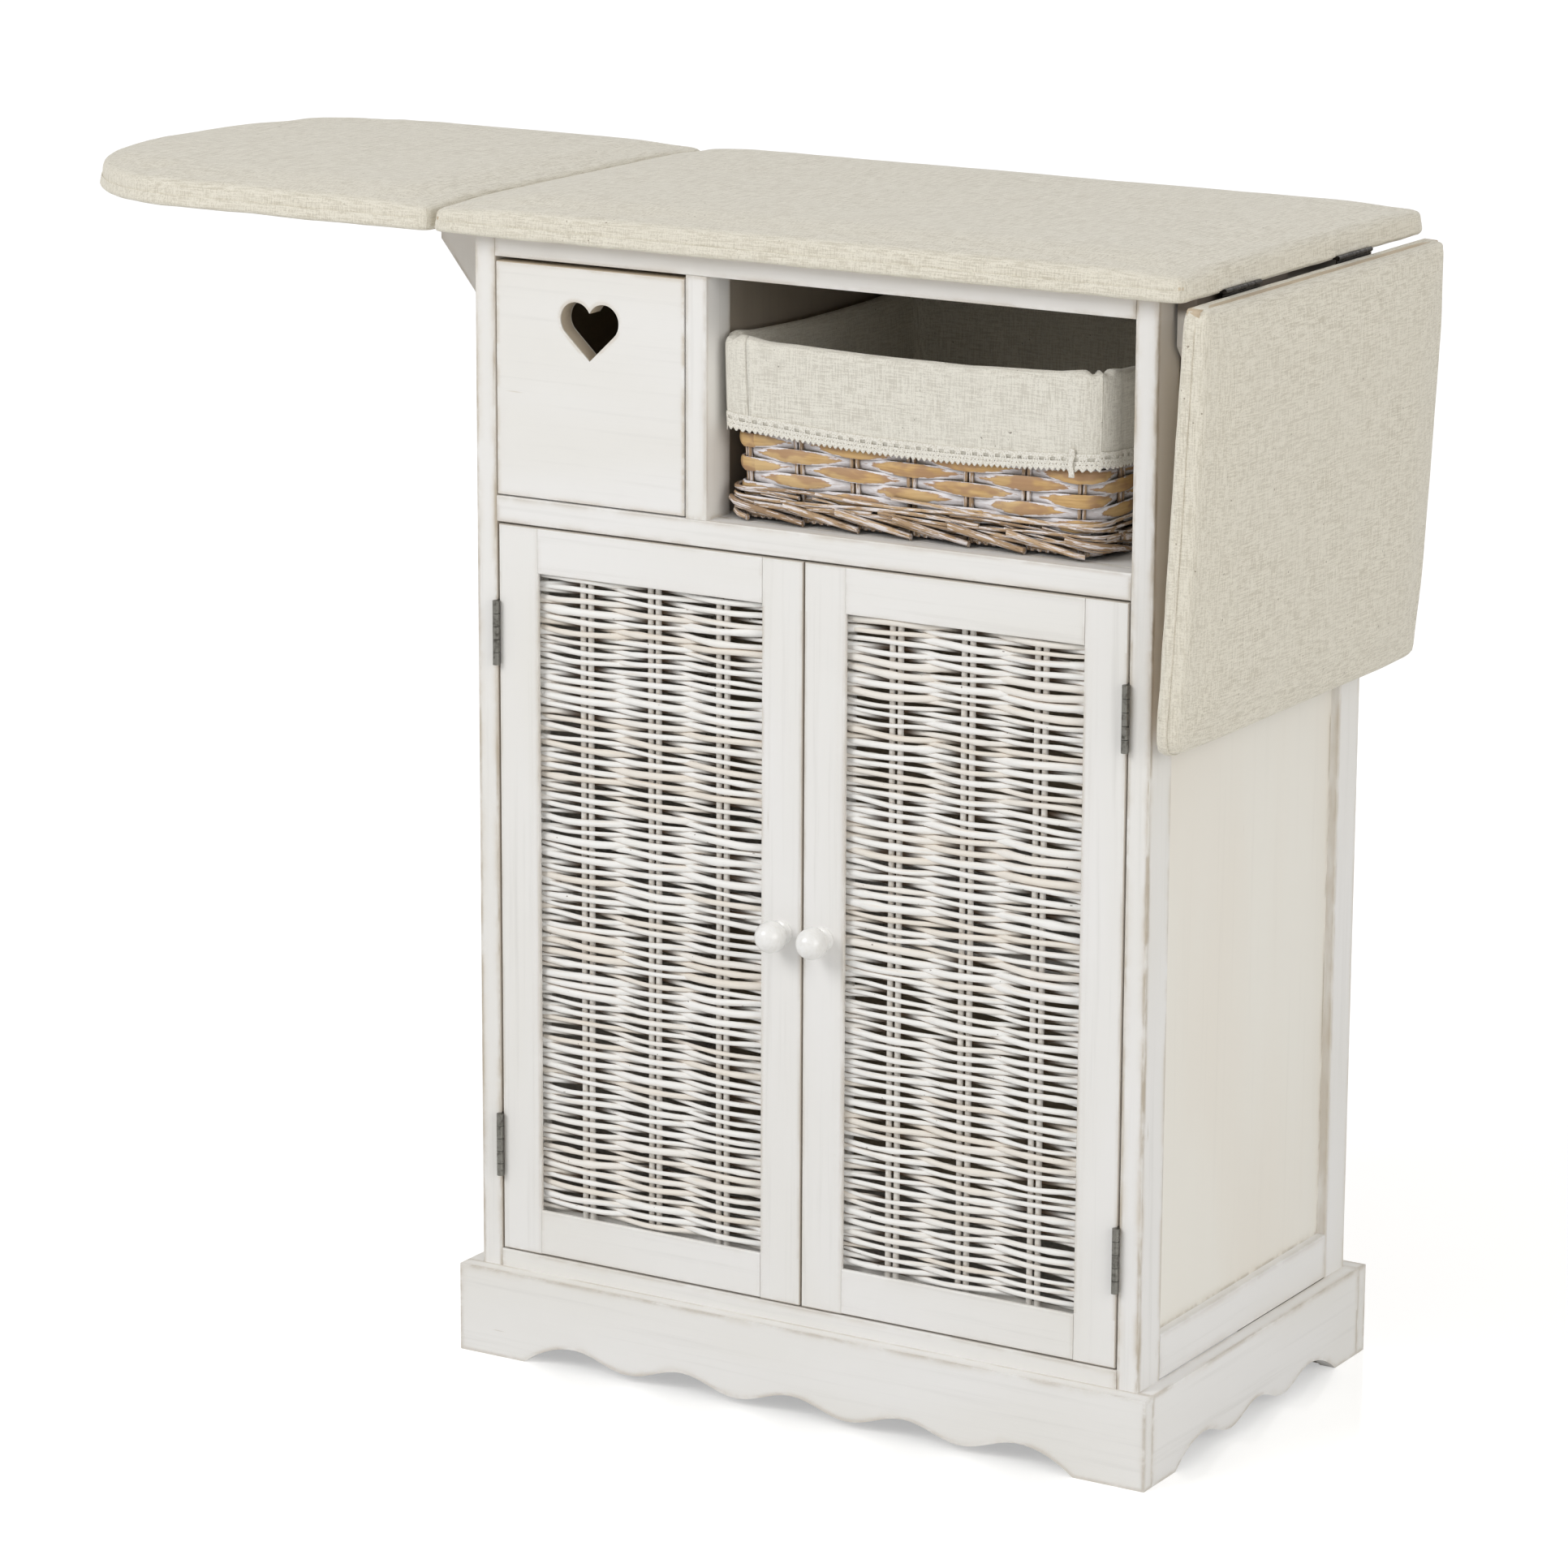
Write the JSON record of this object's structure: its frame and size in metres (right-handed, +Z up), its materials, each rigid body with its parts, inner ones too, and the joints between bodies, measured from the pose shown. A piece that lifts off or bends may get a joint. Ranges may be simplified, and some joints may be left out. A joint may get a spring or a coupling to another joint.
{
  "type": "ironing board cabinet",
  "caption": "Free-standing wooden cabinet with woven willow doors, a drawer, a lined basket and a padded ironing top whose end leaves fold on hinges over swing-out brackets.",
  "frame": {"origin": "on the floor, half way along the foot of the back plinth board and in the middle of its thickness", "axes": "+X to the right as seen from the front, along the ironing top; +Y from the front to the back; +Z up"},
  "size_m": [1.0522, 0.4052, 0.902],
  "materials": {
    "painted_wood": "white-washed paint, worn to grey-brown wood at the edges",
    "bare_wood": "sawn, unpainted",
    "white_willow": "peeled willow with a white wash",
    "willow": "honey-brown split willow with traces of white wash",
    "linen_cover": "plain-woven natural linen over padding",
    "linen_liner": "plain-woven natural linen",
    "lace": "cream crochet lace",
    "dark_steel": "dark burnished steel",
    "nickel": "dull nickel plate"
  },
  "bodies": {
    "cabinet": {"front_left_post": "painted_wood", "front_right_post": "painted_wood", "back_left_post": "painted_wood", "back_right_post": "painted_wood", "left_side_rails": "painted_wood", "right_side_rails": "painted_wood", "left_side_panel": "painted_wood", "right_side_panel": "painted_wood", "wing_battens": "painted_wood", "back_rails": "painted_wood", "back_panel": "bare_wood", "top_rail": "painted_wood", "middle_rail": "painted_wood", "bottom_rail": "painted_wood", "divider_post": "painted_wood", "divider_panel": "painted_wood", "compartment_floor": "painted_wood", "floor_panel": "painted_wood", "inner_shelf": "painted_wood", "shelf_battens": "bare_wood", "drawer_guides": "bare_wood", "plinth_front": "painted_wood", "plinth_back": "painted_wood", "plinth_left": "painted_wood", "plinth_right": "painted_wood", "centre_board": "bare_wood", "centre_pad": "linen_cover", "door_hinge_post_leaves": "nickel", "leaf_hinge_centre_leaves": "dark_steel", "wing_hinge_side_leaves": "nickel", "door_catches": "nickel"},
    "left_door": {"left_door_stiles": "painted_wood", "left_door_rails": "painted_wood", "left_door_wicker": "white_willow", "left_door_knob": "painted_wood", "left_door_hinge_leaves": "nickel"},
    "right_door": {"right_door_stiles": "painted_wood", "right_door_rails": "painted_wood", "right_door_wicker": "white_willow", "right_door_knob": "painted_wood", "right_door_hinge_leaves": "nickel"},
    "drawer": {"drawer_front": "painted_wood", "drawer_sides": "bare_wood", "drawer_back": "bare_wood", "drawer_bottom": "bare_wood"},
    "basket": {"basket_body": "willow", "basket_border": "willow", "basket_liner": "linen_liner", "basket_lace": "lace"},
    "left_leaf": {"left_leaf_board": "bare_wood", "left_leaf_pad": "linen_cover", "left_leaf_hinge_leaves": "dark_steel"},
    "right_leaf": {"right_leaf_board": "bare_wood", "right_leaf_pad": "linen_cover", "right_leaf_hinge_leaves": "dark_steel"},
    "left_bracket": {"left_wing": "painted_wood", "left_wing_hinge_leaves": "nickel"},
    "right_bracket": {"right_wing": "painted_wood", "right_wing_hinge_leaves": "nickel"}
  },
  "joints": [
    {"name": "left_door_swing", "type": "hinge", "parent": "cabinet", "child": "left_door", "pos_m": [-0.26825, -0.3516, 0.371], "axis": [0, 0, -1], "range_deg": [0, 110]},
    {"name": "right_door_swing", "type": "hinge", "parent": "cabinet", "child": "right_door", "pos_m": [0.26825, -0.3516, 0.371], "axis": [0, 0, 1], "range_deg": [0, 110]},
    {"name": "drawer_slide", "type": "slide", "parent": "cabinet", "child": "drawer", "axis": [0, -1, 0], "range_m": [0, 0.25]},
    {"name": "basket_slide", "type": "slide", "parent": "cabinet", "child": "basket", "axis": [0, -1, 0], "range_m": [0, 0.25]},
    {"name": "left_leaf_lift", "type": "hinge", "parent": "cabinet", "child": "left_leaf", "pos_m": [-0.3165, -0.1775, 0.877], "axis": [0, 1, 0], "range_deg": [0, 3]},
    {"name": "right_leaf_raise", "type": "hinge", "parent": "cabinet", "child": "right_leaf", "pos_m": [0.3165, -0.1775, 0.877], "axis": [0, -1, 0], "range_deg": [0, 92.82]},
    {"name": "left_bracket_fold", "type": "hinge", "parent": "cabinet", "child": "left_bracket", "pos_m": [-0.2888, -0.1868, 0.769], "axis": [0, 0, 1], "range_deg": [0, 90]},
    {"name": "right_bracket_swing", "type": "hinge", "parent": "cabinet", "child": "right_bracket", "pos_m": [0.2888, -0.1868, 0.769], "axis": [0, 0, 1], "range_deg": [0, 3]}
  ]
}
